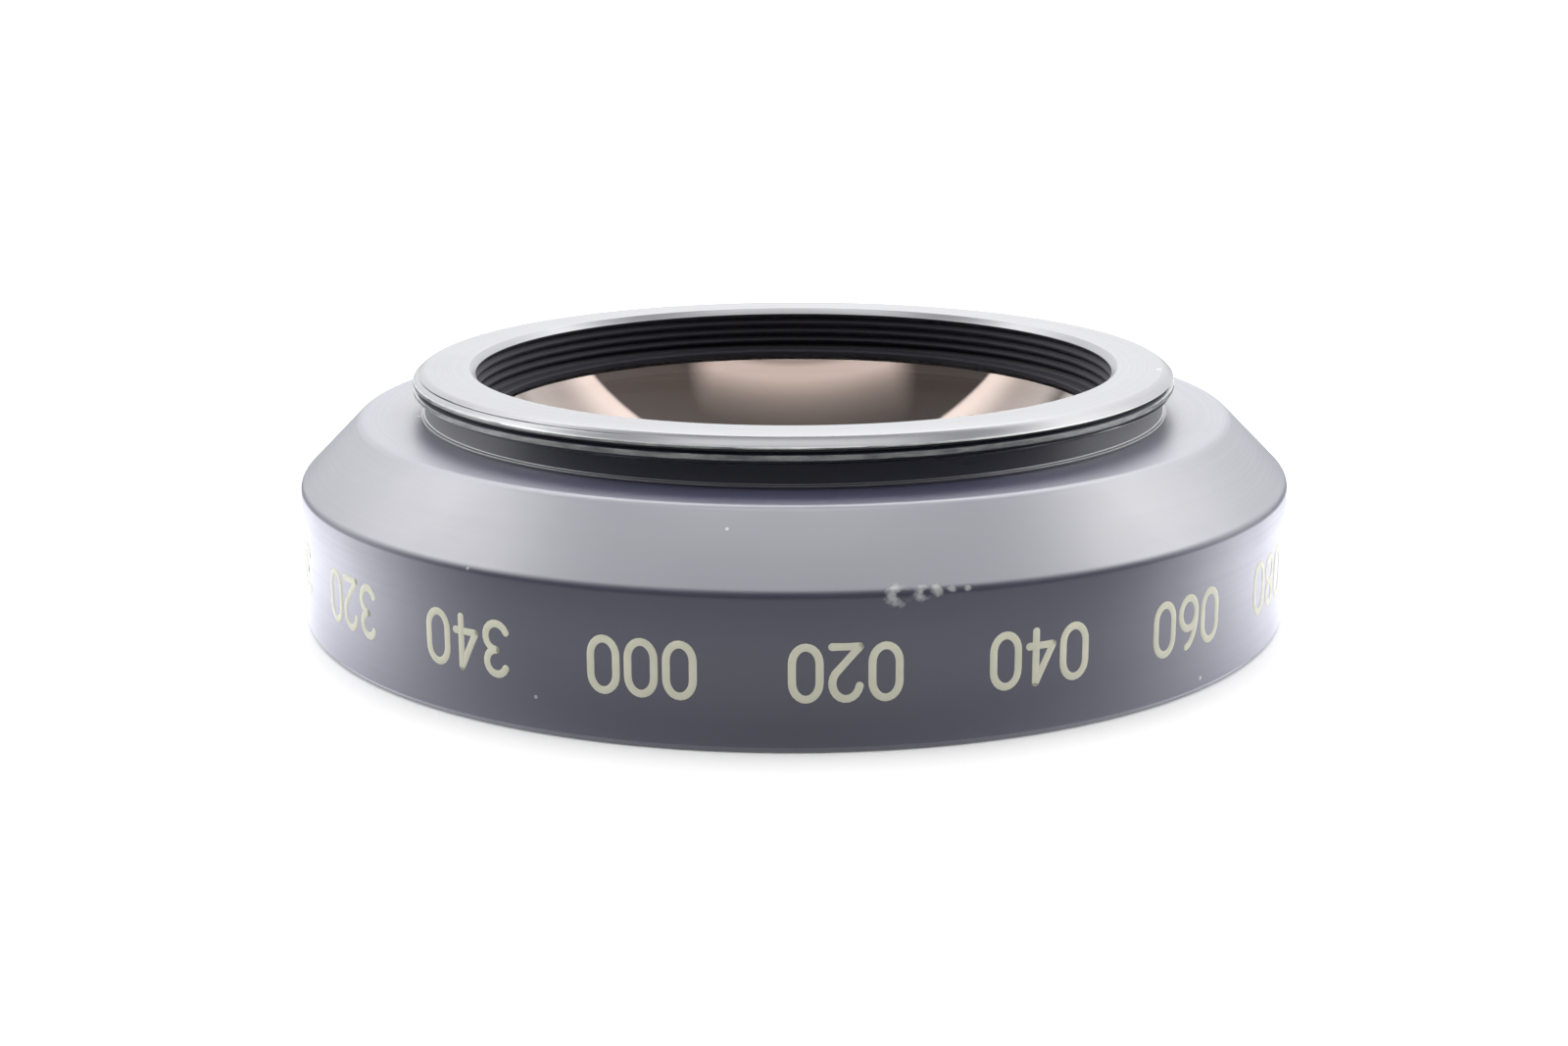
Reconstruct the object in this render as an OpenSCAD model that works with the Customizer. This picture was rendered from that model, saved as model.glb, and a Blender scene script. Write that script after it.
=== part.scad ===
// Wide-angle conversion lens: one thick meniscus in a turned barrel, with a
// threaded ring at the rear that screws into the front of a camera lens.
// The barrel stands on its front rim. The origin is on the optical axis in
// the plane of that rim, and +Z points to the rear, at the camera.

/* [Mount ring] */
// Nominal diameter of the male mount thread
mount_d = 58; // [49:0.5:72]
// Height of the mount ring above the rear shoulder
mount_h = 3.5; // [3.2:0.1:7]
// Length of the male thread
thread_l = 1.6; // [1.4:0.05:2.4]
// Lead-in chamfer at the end of the male thread
lead_chamfer = 0.5; // [0.2:0.05:0.6]
// Depth of the relief below the male thread
relief_depth = 0.8; // [0.6:0.05:1.2]
// Step in from the thread to the collar, on the radius
collar_step = 0.5; // [0.2:0.05:0.7]
// Height of the collar
collar_h = 0.2; // [0.1:0.05:0.4]
// Width of the collar's foot, from its edge in to the spigot
collar_w = 1.6; // [1.2:0.1:2.2]
// Length of the threaded spigot that goes into the barrel
spigot_h = 2.2; // [1.7:0.1:2.7]
// Wall of the ring from the thread in to the bore
ring_w = 4.7; // [4.2:0.1:5.2]
// Chamfer at the rear end of the bore
bore_chamfer = 0.45; // [0.2:0.05:0.8]
// Pitch of the glare-stop ridges in the bore
ridge_pitch = 0.75; // [0.6:0.05:1]
// Depth of the grooves between the ridges
ridge_depth = 0.35; // [0.2:0.05:0.4]
// Width of the flat crest left on each ridge
ridge_crest = 0.15; // [0.05:0.05:0.3]
// Width of the lip that covers the rim of the lens
lip_w = 1.1; // [0.6:0.1:1.6]
// Thickness of the lip
lip_h = 0.45; // [0.3:0.05:0.7]
// Depth of the lip's lower face below the shoulder
lip_drop = 0.45; // [0.2:0.05:0.6]

/* [Barrel] */
// Width of the flat rear shoulder outside the collar
shoulder_w = 4.6; // [3:0.1:6]
// Radial width of the bevel between the shoulder and the band
bevel_w = 4.55; // [4:0.05:7]
// Height of the bevel
bevel_h = 4.6; // [3.9:0.1:5.7]
// Height of the straight band above the front rim
band_h = 10.5; // [8.7:0.1:14]
// Radius of the edge between band and bevel
edge_r = 0.9; // [0.2:0.1:1.2]
// Radius of the edge between bevel and shoulder
shoulder_edge_r = 1; // [0.2:0.1:1.5]
// Chamfer on the outer and inner edges of the front rim
rim_chamfer = 0.4; // [0.1:0.1:0.7]
// Wall of the barrel round the front thread
front_wall = 2.15; // [1.8:0.05:3]
// Step from the front thread in to the lens pocket, on the radius
thread_step = 0.8; // [0.6:0.1:1]
// Drop of the lens seat below the top of the band
seat_drop = 0.9; // [0.5:0.1:1.5]

/* [Lens] */
// Thickness of the lens at its centre
centre_t = 3; // [2:0.1:3.5]
// Depth of the concave rear surface below its rim
bowl_depth = 9.4; // [7.8:0.1:10]
// Rise of the convex front surface from the edge of the lens to its centre
front_bulge = 4.9; // [3.5:0.1:6]
// Cover of the lip over the rim of the concave surface
lip_cover = 0.3; // [0.1:0.05:0.4]
// Width of the flat rim round the concave surface
rim_w = 0.9; // [0.5:0.05:1]
// Width of the flat land that seats in the barrel
land_w = 2.6; // [2:0.1:4]
// Protective bevel ground on the edges of the lens
glass_bevel = 0.25; // [0.1:0.05:0.4]

/* [Retaining ring] */
// Height of the retaining ring
retainer_h = 2.2; // [1.5:0.1:2.6]
// Radial width of the retaining ring
retainer_w = 3.3; // [2.8:0.1:4]
// Chamfer on the front edges of the retaining ring
retainer_chamfer = 0.5; // [0.2:0.1:0.7]
// Width of each spanner slot
slot_w = 1.8; // [1:0.1:3]
// Depth of each spanner slot
slot_depth = 1; // [0.5:0.1:1.2]
// Thickness of the round cushion under the retaining ring
cushion_t = 1.4; // [1:0.1:1.6]
// Distance from the lens edge in to the middle of the cushion
cushion_inset = 1; // [0.9:0.1:1.4]

/* [Fits] */
// Clearance between threaded pieces, on the radius
thread_clear = 0.1; // [0.05:0.05:0.2]
// Clearance round the edge of the lens, on the radius
lens_clear = 0.1; // [0.05:0.05:0.3]
// Clearance between the lens and the ring or wall it does not seat on
free_clear = 0.3; // [0.2:0.05:0.5]
// Gap between the rim of the lens and the lip over it
rim_gap = 0.05; // [0:0.01:0.2]
// Gap on each side of the cushion
cushion_gap = 0.02; // [0.01:0.01:0.1]

/* [Hidden] */
$fn = 180;

// Heights of the outer form
shoulder_z = band_h + bevel_h;
top_z = shoulder_z + mount_h;

// Mount ring, from the thread inward
mount_r = mount_d / 2;
relief_r = mount_r - relief_depth;
collar_r = mount_r - collar_step;
spigot_r = collar_r - collar_w;
bore_r = mount_r - ring_w;
lip_r = bore_r - lip_w;
thread_z = top_z - thread_l;
collar_z = shoulder_z + collar_h;
spigot_z = shoulder_z - spigot_h;
lip_z = shoulder_z - lip_drop;
lip_top_z = lip_z + lip_h;
ridge_n = floor((top_z - bore_chamfer - lip_top_z) / ridge_pitch);

// Barrel, from the collar outward
shoulder_r = collar_r + shoulder_w;
body_r = shoulder_r + bevel_w;
bevel_angle = atan2(bevel_h, bevel_w);

// Round that blends the band into the bevel, seen in section
edge_centre = [body_r - edge_r, band_h - edge_r * tan((90 - bevel_angle) / 2)];
edge_tangent = edge_centre + edge_r * [sin(bevel_angle), cos(bevel_angle)];

// Round that blends the bevel into the shoulder
shoulder_edge_centre = [
    shoulder_r - shoulder_edge_r * tan(bevel_angle / 2),
    shoulder_z - shoulder_edge_r
];
shoulder_edge_tangent = shoulder_edge_centre
    + shoulder_edge_r * [sin(bevel_angle), cos(bevel_angle)];

// Barrel bores, from the band inward
front_bore_r = body_r - front_wall;
pocket_r = front_bore_r - thread_step;
rear_bore_r = spigot_r + thread_clear;
seat_z = band_h - seat_drop;

// Lens: the land lies on the seat, and the rim comes up under the lip
lens_r = pocket_r - lens_clear;
land_r = lens_r - land_w;
aperture_r = lip_r + lip_cover;
rim_r = aperture_r + rim_w;
rim_pocket_r = rim_r + free_clear;
rim_z = lip_z - rim_gap;
step_z = spigot_z - free_clear;
rear_vertex_z = rim_z - bowl_depth;
rear_curve_r = sphere_r(aperture_r, bowl_depth);
front_vertex_z = rear_vertex_z - centre_t;
front_curve_r = sphere_r(lens_r, front_bulge);

// Cone inside the barrel, parallel to the cone of the lens
cone_slope = (step_z - seat_z) / (land_r - rim_r);
seat_r = land_r + free_clear / cone_slope;
cone_top_z = seat_z + (seat_r - rear_bore_r) * cone_slope;

// Cushion and retaining ring, from the lens forward
cushion_r = cushion_t / 2;
cushion_ring_r = lens_r - cushion_inset;
cushion_z = front_vertex_z + front_curve_r
    - sqrt(pow(front_curve_r + cushion_r + cushion_gap, 2) - pow(cushion_ring_r, 2));
retainer_top_z = cushion_z - cushion_r - cushion_gap;
retainer_z = retainer_top_z - retainer_h;
retainer_r = front_bore_r - thread_clear;
thread_runout = 0.5;
front_bore_h = retainer_top_z + thread_runout;

// Radius of the sphere whose cap has the radius a at its rim and the depth d
function sphere_r(a, d) = (a * a + d * d) / (2 * d);

module barrel_section() {
    polygon([
        [front_bore_r, rim_chamfer],
        [front_bore_r + rim_chamfer, 0],
        [body_r - rim_chamfer, 0],
        [body_r, rim_chamfer],
        [body_r, edge_centre[1]],
        edge_centre,
        edge_tangent,
        shoulder_edge_tangent,
        shoulder_edge_centre,
        [shoulder_edge_centre[0], shoulder_z],
        [rear_bore_r, shoulder_z],
        [rear_bore_r, cone_top_z],
        [seat_r, seat_z],
        [pocket_r, seat_z],
        [pocket_r, front_bore_h],
        [front_bore_r, front_bore_h]
    ]);
    translate(edge_centre) circle(r = edge_r);
    translate(shoulder_edge_centre) circle(r = shoulder_edge_r);
}

module barrel() {
    color([0.12, 0.12, 0.14])
    rotate_extrude() barrel_section();
}

// One groove of the glare stop, cut from the bore outward, with its middle at z
module glare_groove(z) {
    half_w = (ridge_pitch - ridge_crest) / 2;
    polygon([
        [bore_r - ridge_depth, z - half_w],
        [bore_r, z - half_w],
        [bore_r + ridge_depth, z],
        [bore_r, z + half_w],
        [bore_r - ridge_depth, z + half_w]
    ]);
}

module mount_ring_section() {
    difference() {
        polygon([
            [rim_pocket_r, spigot_z],
            [spigot_r, spigot_z],
            [spigot_r, shoulder_z],
            [collar_r, shoulder_z],
            [collar_r, collar_z],
            [relief_r, collar_z],
            [relief_r, thread_z - (mount_r - relief_r) / 2],
            [mount_r, thread_z],
            [mount_r, top_z - lead_chamfer],
            [mount_r - lead_chamfer, top_z],
            [bore_r + bore_chamfer, top_z],
            [bore_r, top_z - bore_chamfer],
            [bore_r, lip_top_z],
            [lip_r, lip_top_z],
            [lip_r, lip_z],
            [rim_pocket_r, lip_z]
        ]);
        for (i = [0 : ridge_n - 1]) glare_groove(lip_top_z + (i + 0.5) * ridge_pitch);
    }
}

module mount_ring() {
    color([0.09, 0.09, 0.10])
    rotate_extrude() mount_ring_section();
}

// Blank of the lens with its ground edges, before the two curves are cut
module lens_blank() {
    polygon([
        [0, front_vertex_z],
        [lens_r, front_vertex_z],
        [lens_r, seat_z - glass_bevel],
        [lens_r - glass_bevel, seat_z],
        [land_r, seat_z],
        [rim_r, step_z],
        [rim_r, rim_z - glass_bevel],
        [rim_r - glass_bevel, rim_z],
        [0, rim_z]
    ]);
}

module meniscus_lens() {
    color([0.72, 0.64, 0.58])
    rotate_extrude()
    difference() {
        intersection() {
            lens_blank();
            translate([0, front_vertex_z + front_curve_r]) circle(r = front_curve_r);
        }
        translate([0, rear_vertex_z + rear_curve_r]) circle(r = rear_curve_r);
    }
}

module retaining_ring_section() {
    inner_r = retainer_r - retainer_w;
    polygon([
        [inner_r + retainer_chamfer, retainer_z],
        [retainer_r - retainer_chamfer, retainer_z],
        [retainer_r, retainer_z + retainer_chamfer],
        [retainer_r, retainer_top_z],
        [inner_r, retainer_top_z],
        [inner_r, retainer_z + retainer_chamfer]
    ]);
}

module retaining_ring() {
    color([0.10, 0.10, 0.11])
    difference() {
        rotate_extrude() retaining_ring_section();
        translate([-front_bore_r, -slot_w / 2, retainer_z - slot_depth])
            cube([2 * front_bore_r, slot_w, 2 * slot_depth]);
    }
}

module lens_cushion() {
    color([0.05, 0.05, 0.05])
    rotate_extrude()
    translate([cushion_ring_r, cushion_z]) circle(r = cushion_r);
}

barrel();
mount_ring();
meniscus_lens();
retaining_ring();
lens_cushion();
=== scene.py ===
import math
import bmesh
import bpy
from mathutils import Euler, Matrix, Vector

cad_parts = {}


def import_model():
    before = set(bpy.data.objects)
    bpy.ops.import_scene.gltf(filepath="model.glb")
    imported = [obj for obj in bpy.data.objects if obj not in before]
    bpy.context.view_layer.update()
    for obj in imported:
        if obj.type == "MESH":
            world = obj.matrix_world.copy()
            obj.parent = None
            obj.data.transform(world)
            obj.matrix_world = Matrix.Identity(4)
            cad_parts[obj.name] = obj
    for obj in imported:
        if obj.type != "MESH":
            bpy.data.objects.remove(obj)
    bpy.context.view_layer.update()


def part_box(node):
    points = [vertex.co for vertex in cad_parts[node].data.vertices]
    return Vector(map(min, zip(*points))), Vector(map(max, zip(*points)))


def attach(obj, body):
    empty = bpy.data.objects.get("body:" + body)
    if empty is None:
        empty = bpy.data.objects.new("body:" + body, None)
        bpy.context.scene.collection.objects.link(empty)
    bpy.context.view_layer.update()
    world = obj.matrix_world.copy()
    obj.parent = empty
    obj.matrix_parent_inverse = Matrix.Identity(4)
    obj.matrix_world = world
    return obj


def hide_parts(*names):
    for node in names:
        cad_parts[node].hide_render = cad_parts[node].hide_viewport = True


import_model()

MM = 0.001
TURN = 2 * math.pi
WELD = 1e-7
SLIVER = 1e-8
SHARP_ANGLE = math.radians(35)

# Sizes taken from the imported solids, in metres
BARREL_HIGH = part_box("barrel")[1]
RING_LOW, RING_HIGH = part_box("mount_ring")
LENS_LOW, LENS_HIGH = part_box("meniscus_lens")
RETAINER_LOW, RETAINER_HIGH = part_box("retaining_ring")
CUSHION_LOW, CUSHION_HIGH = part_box("lens_cushion")
BODY_R = BARREL_HIGH[0]
SHOULDER_Z = BARREL_HIGH[2]
MOUNT_R = RING_HIGH[0]
SPIGOT_Z = RING_LOW[2]
TOP_Z = RING_HIGH[2]
LENS_R = LENS_HIGH[0]
RIM_Z = LENS_HIGH[2]
FRONT_VERTEX_Z = LENS_LOW[2]
RETAINER_R = RETAINER_HIGH[0]
RETAINER_Z = RETAINER_LOW[2]
RETAINER_TOP_Z = RETAINER_HIGH[2]

# Mount ring
RELIEF_R = MOUNT_R - 0.8 * MM
COLLAR_R = MOUNT_R - 0.5 * MM
COLLAR_Z = SHOULDER_Z + 0.2 * MM
SPIGOT_R = COLLAR_R - 1.6 * MM
BORE_R = MOUNT_R - 4.7 * MM
BORE_CHAMFER = 0.45 * MM
LIP_R = BORE_R - 1.1 * MM
LIP_Z = SHOULDER_Z - 0.45 * MM
LIP_TOP_Z = LIP_Z + 0.45 * MM
RIDGE_PITCH = 0.75 * MM
RIDGE_DEPTH = 0.35 * MM
RIDGE_CREST = 0.15 * MM
RIDGE_COUNT = 4

# Male thread: pitch, depth, width of crest and root as shares of the pitch, and the height
# of a crest at the front of the ring; it runs in over its foot and out at the lead-in
THREAD_PITCH = 0.75 * MM
THREAD_DEPTH = 0.44 * MM
THREAD_CREST = 0.42
THREAD_ROOT = 0.08
CREST_Z = TOP_Z - 1.33 * MM
THREAD_FOOT_Z = TOP_Z - 1.6 * MM
FOOT_RISE = 0.4 * MM
LEAD_CHAMFER = 0.65 * MM
LEAD_ROUND = 0.6 * MM
FINE_TOP_Z = TOP_Z - 0.12 * MM
TURNS_BELOW = 6
TURNS_DRAWN = 9

# Barrel
SHOULDER_R = COLLAR_R + 4.6 * MM
BAND_Z = SHOULDER_Z - 4.6 * MM
EDGE_R = 0.9 * MM
SHOULDER_ROUND = 1.0 * MM
RIM_CHAMFER = 0.4 * MM
FRONT_BORE_R = BODY_R - 2.15 * MM
POCKET_R = FRONT_BORE_R - 0.8 * MM
SEAT_Z = BAND_Z - 0.9 * MM
REAR_BORE_R = SPIGOT_R + 0.1 * MM

# Lens
APERTURE_R = LIP_R + 0.3 * MM
RIM_R = APERTURE_R + 0.9 * MM
LAND_R = LENS_R - 2.6 * MM
STEP_Z = SPIGOT_Z - 0.3 * MM
BOWL_DEPTH = 9.4 * MM
FRONT_BULGE = 4.9 * MM
GLASS_BEVEL = 0.25 * MM

# Small parts
FREE_CLEAR = 0.3 * MM
BREAK = 0.08 * MM
RETAINER_W = 3.3 * MM
RETAINER_CHAMFER = 0.5 * MM
SLOT_W = 1.8 * MM
SLOT_DEPTH = 1.0 * MM

# Figures on the band: steps in degrees, sizes in metres, sides of the round bead
FIGURE_STEP = 20
FIGURE_OFFSET = -15
FIGURE_Z = 5.35 * MM
FIGURE_H = 3.45 * MM
FIGURE_W = 1.75 * MM
FIGURE_PITCH = 2.55 * MM
STROKE = 0.52 * MM
PAINT_RISE = 0.035 * MM
BEAD_SIDES = 12
BALL_RINGS = 8


def polar(r, angle, z):
    """Point at radius r and height z; angle 0 is the front and grows to the right."""
    return Vector((r * math.sin(angle), -r * math.cos(angle), z))


def rounded(points, radius=BREAK, steps=4):
    """Closed outline of (r, z) corners with small rounds; a third number is a corner's own."""
    outline = []
    count = len(points)
    for i, corner in enumerate(points):
        here = Vector(corner[:2])
        own = corner[2] if len(corner) > 2 else radius
        back = Vector(points[i - 1][:2]) - here
        ahead = Vector(points[(i + 1) % count][:2]) - here
        if own <= 0 or here.x <= 0:
            outline.append(here)
            continue
        half = back.angle(ahead) / 2
        reach = min(own / math.tan(half), back.length * 0.45, ahead.length * 0.45)
        own = reach * math.tan(half)
        inwards = (back.normalized() + ahead.normalized()).normalized()
        centre = here + inwards * (own / math.sin(half))
        start = here + back.normalized() * reach - centre
        sweep = start.angle_signed(here + ahead.normalized() * reach - centre)
        for k in range(steps + 1):
            turn = -sweep * k / steps
            c, s = math.cos(turn), math.sin(turn)
            outline.append(centre + Vector((start.x * c - start.y * s, start.x * s + start.y * c)))
    return outline


def mesh_from(bm, name):
    """Mesh from a bmesh, which is then freed."""
    mesh = bpy.data.meshes.new(name)
    bm.to_mesh(mesh)
    bm.free()
    return mesh


def add_object(name, data):
    """Object for a mesh, curve or camera, linked into the scene."""
    item = bpy.data.objects.new(name, data)
    bpy.context.scene.collection.objects.link(item)
    return item


def shade(mesh):
    """Smooth shading apart from the sharp edges."""
    mesh.shade_smooth()
    mesh.set_sharp_from_angle(angle=SHARP_ANGLE)


def finish_mesh(name, mesh):
    """Object for a mesh, shaded smooth apart from its sharp edges."""
    shade(mesh)
    return add_object(name, mesh)


def ring_mesh(name, columns):
    """Closed surface through columns of (r, z), one column for each angle round the axis."""
    bm = bmesh.new()
    turns = len(columns)
    grid = []
    for i, column in enumerate(columns):
        angle = TURN * i / (turns - 1)
        grid.append([bm.verts.new(polar(r, angle, z)) for r, z in column])
    rows = len(grid[0])
    for i in range(turns - 1):
        for j in range(rows):
            k = (j + 1) % rows
            bm.faces.new((grid[i][j], grid[i + 1][j], grid[i + 1][k], grid[i][k]))
    bmesh.ops.remove_doubles(bm, verts=bm.verts, dist=WELD)
    bmesh.ops.dissolve_degenerate(bm, dist=SLIVER, edges=bm.edges)
    bmesh.ops.recalc_face_normals(bm, faces=bm.faces)
    return finish_mesh(name, mesh_from(bm, name))


def lathe(name, outline, segments):
    """Turned piece from a closed outline of (r, z)."""
    column = [tuple(p) for p in outline]
    return ring_mesh(name, [column] * (segments + 1))


def arc(centre, radius, start, end, steps):
    """Points of an arc in the (r, z) plane, from one angle to the other."""
    points = []
    for i in range(steps + 1):
        a = start + (end - start) * i / steps
        points.append(Vector((centre[0] + radius * math.cos(a), centre[1] + radius * math.sin(a))))
    return points


def barrel():
    """Turned body: band, rounded edge, bevel, shoulder, lens seat and front bore."""
    slope = (STEP_Z - SEAT_Z) / (LAND_R - RIM_R)
    seat_r = LAND_R + FREE_CLEAR / slope
    cone_z = SEAT_Z + (seat_r - REAR_BORE_R) * slope
    front_bore_h = RETAINER_TOP_Z + 0.5 * MM
    outline = rounded([
        (FRONT_BORE_R, RIM_CHAMFER),
        (FRONT_BORE_R + RIM_CHAMFER, 0),
        (BODY_R - RIM_CHAMFER, 0),
        (BODY_R, RIM_CHAMFER),
        (BODY_R, BAND_Z, EDGE_R),
        (SHOULDER_R, SHOULDER_Z, SHOULDER_ROUND),
        (REAR_BORE_R, SHOULDER_Z),
        (REAR_BORE_R, cone_z),
        (seat_r, SEAT_Z),
        (POCKET_R, SEAT_Z),
        (POCKET_R, front_bore_h),
        (FRONT_BORE_R, front_bore_h),
    ], steps=8)
    return lathe("barrel_turned", outline, segments=480)


def thread_depth(phase):
    """Depth of the thread at a place in its pitch, 0 at the crest and 1 at the root."""
    t = abs((phase + 0.5) % 1.0 - 0.5) * 2
    return min(max((t - THREAD_CREST) / (1 - THREAD_CREST - THREAD_ROOT), 0), 1)


def lead_in(z):
    """Radius of the lead-in chamfer at a height, its top edge a little rounded."""
    down = max(TOP_Z - z, 0)
    across = max(LEAD_ROUND - down, 0)
    round_in = LEAD_ROUND - math.sqrt(max(LEAD_ROUND ** 2 - across ** 2, 0))
    return MOUNT_R - max(LEAD_CHAMFER - down, 0) - 0.5 * round_in


def thread_column(angle):
    """Outside of the mount ring from the relief up to its end face, at one angle."""
    low = THREAD_FOOT_Z - FOOT_RISE
    half = THREAD_CREST / 2
    marks = (0, 0.1, half, 0.3, 0.4, 0.46, 0.5, 0.54, 0.6, 0.7, 1 - half, 0.9)
    first = CREST_Z + THREAD_PITCH * angle / TURN - TURNS_BELOW * THREAD_PITCH
    pitches = [turn + mark for turn in range(TURNS_DRAWN) for mark in marks]
    heights = [min(max(first + pitch * THREAD_PITCH, low), FINE_TOP_Z) for pitch in pitches]
    heights += [FINE_TOP_Z + (TOP_Z - FINE_TOP_Z) * share for share in (0.3, 0.55, 0.75, 0.9, 1)]
    column = [(RELIEF_R, low)]
    for z in heights:
        thread = MOUNT_R - THREAD_DEPTH * thread_depth((z - first) / THREAD_PITCH)
        foot = RELIEF_R + (z - low) * (MOUNT_R - RELIEF_R) / FOOT_RISE
        column.append((min(thread, lead_in(z), foot), z))
    return column


def ridge_points():
    """Inside of the bore from its rear chamfer down to the lip, with the glare-stop grooves."""
    half = (RIDGE_PITCH - RIDGE_CREST) / 2
    points = [(BORE_R + BORE_CHAMFER, TOP_Z), (BORE_R, TOP_Z - BORE_CHAMFER)]
    for i in reversed(range(RIDGE_COUNT)):
        middle = LIP_TOP_Z + (i + 0.5) * RIDGE_PITCH
        points += [(BORE_R, middle + half, 0.03 * MM), (BORE_R + RIDGE_DEPTH, middle, 0.05 * MM)]
        points += [(BORE_R, middle - half, 0.03 * MM)]
    return points + [(BORE_R, LIP_TOP_Z), (LIP_R, LIP_TOP_Z), (LIP_R, LIP_Z)]


def mount_ring():
    """Threaded ring: spigot, collar, relief, male thread, and the ridged bore."""
    pocket_r = RIM_R + FREE_CLEAR
    inner = rounded([(MOUNT_R - LEAD_CHAMFER - 0.14 * MM, TOP_Z, 0)] + ridge_points() + [
        (pocket_r, LIP_Z),
        (pocket_r, SPIGOT_Z),
        (SPIGOT_R, SPIGOT_Z),
        (SPIGOT_R, SHOULDER_Z),
        (COLLAR_R, SHOULDER_Z, 0.03 * MM),
        (COLLAR_R, COLLAR_Z, 0.07 * MM),
        (RELIEF_R, COLLAR_Z, 0.12 * MM),
        (RELIEF_R, THREAD_FOOT_Z - FOOT_RISE, 0),
    ])
    fixed = [tuple(p) for p in inner[1:-1]]
    segments = 480
    columns = [fixed + thread_column(TURN * i / segments) for i in range(segments + 1)]
    ring = ring_mesh("mount_ring_threaded", columns)
    for face in ring.data.polygons:
        reach = math.hypot(face.center.x, face.center.y)
        inside = reach < BORE_R + RIDGE_DEPTH + 0.05 * MM and face.center.z < TOP_Z - BORE_CHAMFER
        face.material_index = 1 if inside else 0
    return ring


def sphere_radius(reach, depth):
    """Radius of a sphere whose cap has this reach at its rim and this depth."""
    return (reach * reach + depth * depth) / (2 * depth)


def meniscus():
    """Thick lens: concave rear bowl, flat rim, ground cone and land, convex front."""
    bowl_r = sphere_radius(APERTURE_R, BOWL_DEPTH)
    bulge_r = sphere_radius(LENS_R, FRONT_BULGE)
    bowl_half = math.asin(APERTURE_R / bowl_r)
    bulge_half = math.asin((LENS_R - GLASS_BEVEL) / bulge_r)
    down = -math.pi / 2
    rear = arc((0, RIM_Z - BOWL_DEPTH + bowl_r), bowl_r, down, down + bowl_half, 48)
    front = arc((0, FRONT_VERTEX_Z + bulge_r), bulge_r, down + bulge_half, down, 48)
    edge = [
        (RIM_R - GLASS_BEVEL, RIM_Z), (RIM_R, RIM_Z - GLASS_BEVEL), (RIM_R, STEP_Z),
        (LAND_R, SEAT_Z), (LENS_R - GLASS_BEVEL, SEAT_Z), (LENS_R, SEAT_Z - GLASS_BEVEL),
        (LENS_R, FRONT_VERTEX_Z + FRONT_BULGE + GLASS_BEVEL),
    ]
    lens = lathe("lens_glass", rear + [Vector(p) for p in edge] + front, segments=288)
    for face in lens.data.polygons:
        middle = face.center
        reach = math.hypot(middle.x, middle.y)
        on_front = face.normal.z < -0.9 and middle.z < SEAT_Z - 2 * GLASS_BEVEL
        face.material_index = 1 if reach > APERTURE_R - 0.01 * MM and not on_front else 0
    return lens


def retainer():
    """Retaining ring with two spanner slots across its front face."""
    inner_r = RETAINER_R - RETAINER_W
    outline = rounded([
        (inner_r + RETAINER_CHAMFER, RETAINER_Z),
        (RETAINER_R - RETAINER_CHAMFER, RETAINER_Z),
        (RETAINER_R, RETAINER_Z + RETAINER_CHAMFER),
        (RETAINER_R, RETAINER_TOP_Z),
        (inner_r, RETAINER_TOP_Z),
        (inner_r, RETAINER_Z + RETAINER_CHAMFER),
    ])
    ring = lathe("retaining_ring_slotted", outline, segments=288)
    bm = bmesh.new()
    bmesh.ops.create_cube(bm, size=1)
    bmesh.ops.scale(bm, verts=bm.verts, vec=(3 * RETAINER_R, SLOT_W, 2 * SLOT_DEPTH))
    bmesh.ops.translate(bm, verts=bm.verts, vec=(0, 0, RETAINER_Z))
    cutter = add_object("slot_cutter", mesh_from(bm, "slot_cutter"))
    cut = ring.modifiers.new("slots", "BOOLEAN")
    cut.object = cutter
    cut.solver = "EXACT"
    applied = plain_mesh(ring, "retaining_ring_cut")
    ring.modifiers.remove(cut)
    ring.data = applied
    shade(applied)
    bpy.data.objects.remove(cutter)
    return ring


def plain_mesh(piece, name):
    """The piece as its modifiers leave it, as a mesh of its own."""
    graph = bpy.context.evaluated_depsgraph_get()
    mesh = bpy.data.meshes.new_from_object(piece.evaluated_get(graph))
    mesh.name = name
    return mesh


def cushion():
    """Round-section rubber ring between the retaining ring and the glass."""
    section_r = (CUSHION_HIGH[2] - CUSHION_LOW[2]) / 2
    centre = (CUSHION_HIGH[0] - section_r, (CUSHION_HIGH[2] + CUSHION_LOW[2]) / 2)
    outline = arc(centre, section_r, 0, TURN, 20)[:-1]
    return lathe("cushion_ring", outline, segments=240)


def digit_strokes(digit):
    """Centre lines of one figure in a box one wide and one high, from straight runs and arcs."""
    def bow(cx, cz, rx, rz, start, end, steps=12):
        turns = [math.radians(start + (end - start) * i / steps) for i in range(steps + 1)]
        return [(cx + rx * math.cos(a), cz + rz * math.sin(a)) for a in turns]
    shapes = {
        "0": [bow(0.5, 0.68, 0.5, 0.32, 0, 180) + bow(0.5, 0.32, 0.5, 0.32, 180, 360)
              + [(1, 0.68)]],
        "1": [[(0.22, 0.8), (0.56, 1)], [(0.56, 1), (0.56, 0)]],
        "2": [bow(0.5, 0.7, 0.5, 0.3, 170, -40) + [(0, 0)], [(0, 0), (1, 0)]],
        "3": [bow(0.47, 0.76, 0.46, 0.24, 155, -90), bow(0.47, 0.26, 0.5, 0.26, 90, -155)],
        "4": [[(0.72, 0), (0.72, 1)], [(0.72, 1), (0, 0.28)], [(0, 0.28), (1, 0.28)]],
        "6": [bow(0.5, 0.31, 0.5, 0.31, 180, 540, 20), bow(0.72, 0.31, 0.72, 0.69, 180, 100)],
        "8": [bow(0.5, 0.77, 0.42, 0.23, -90, 270, 20), bow(0.5, 0.27, 0.5, 0.27, 90, 450, 20)],
    }
    return shapes[digit]


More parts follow.
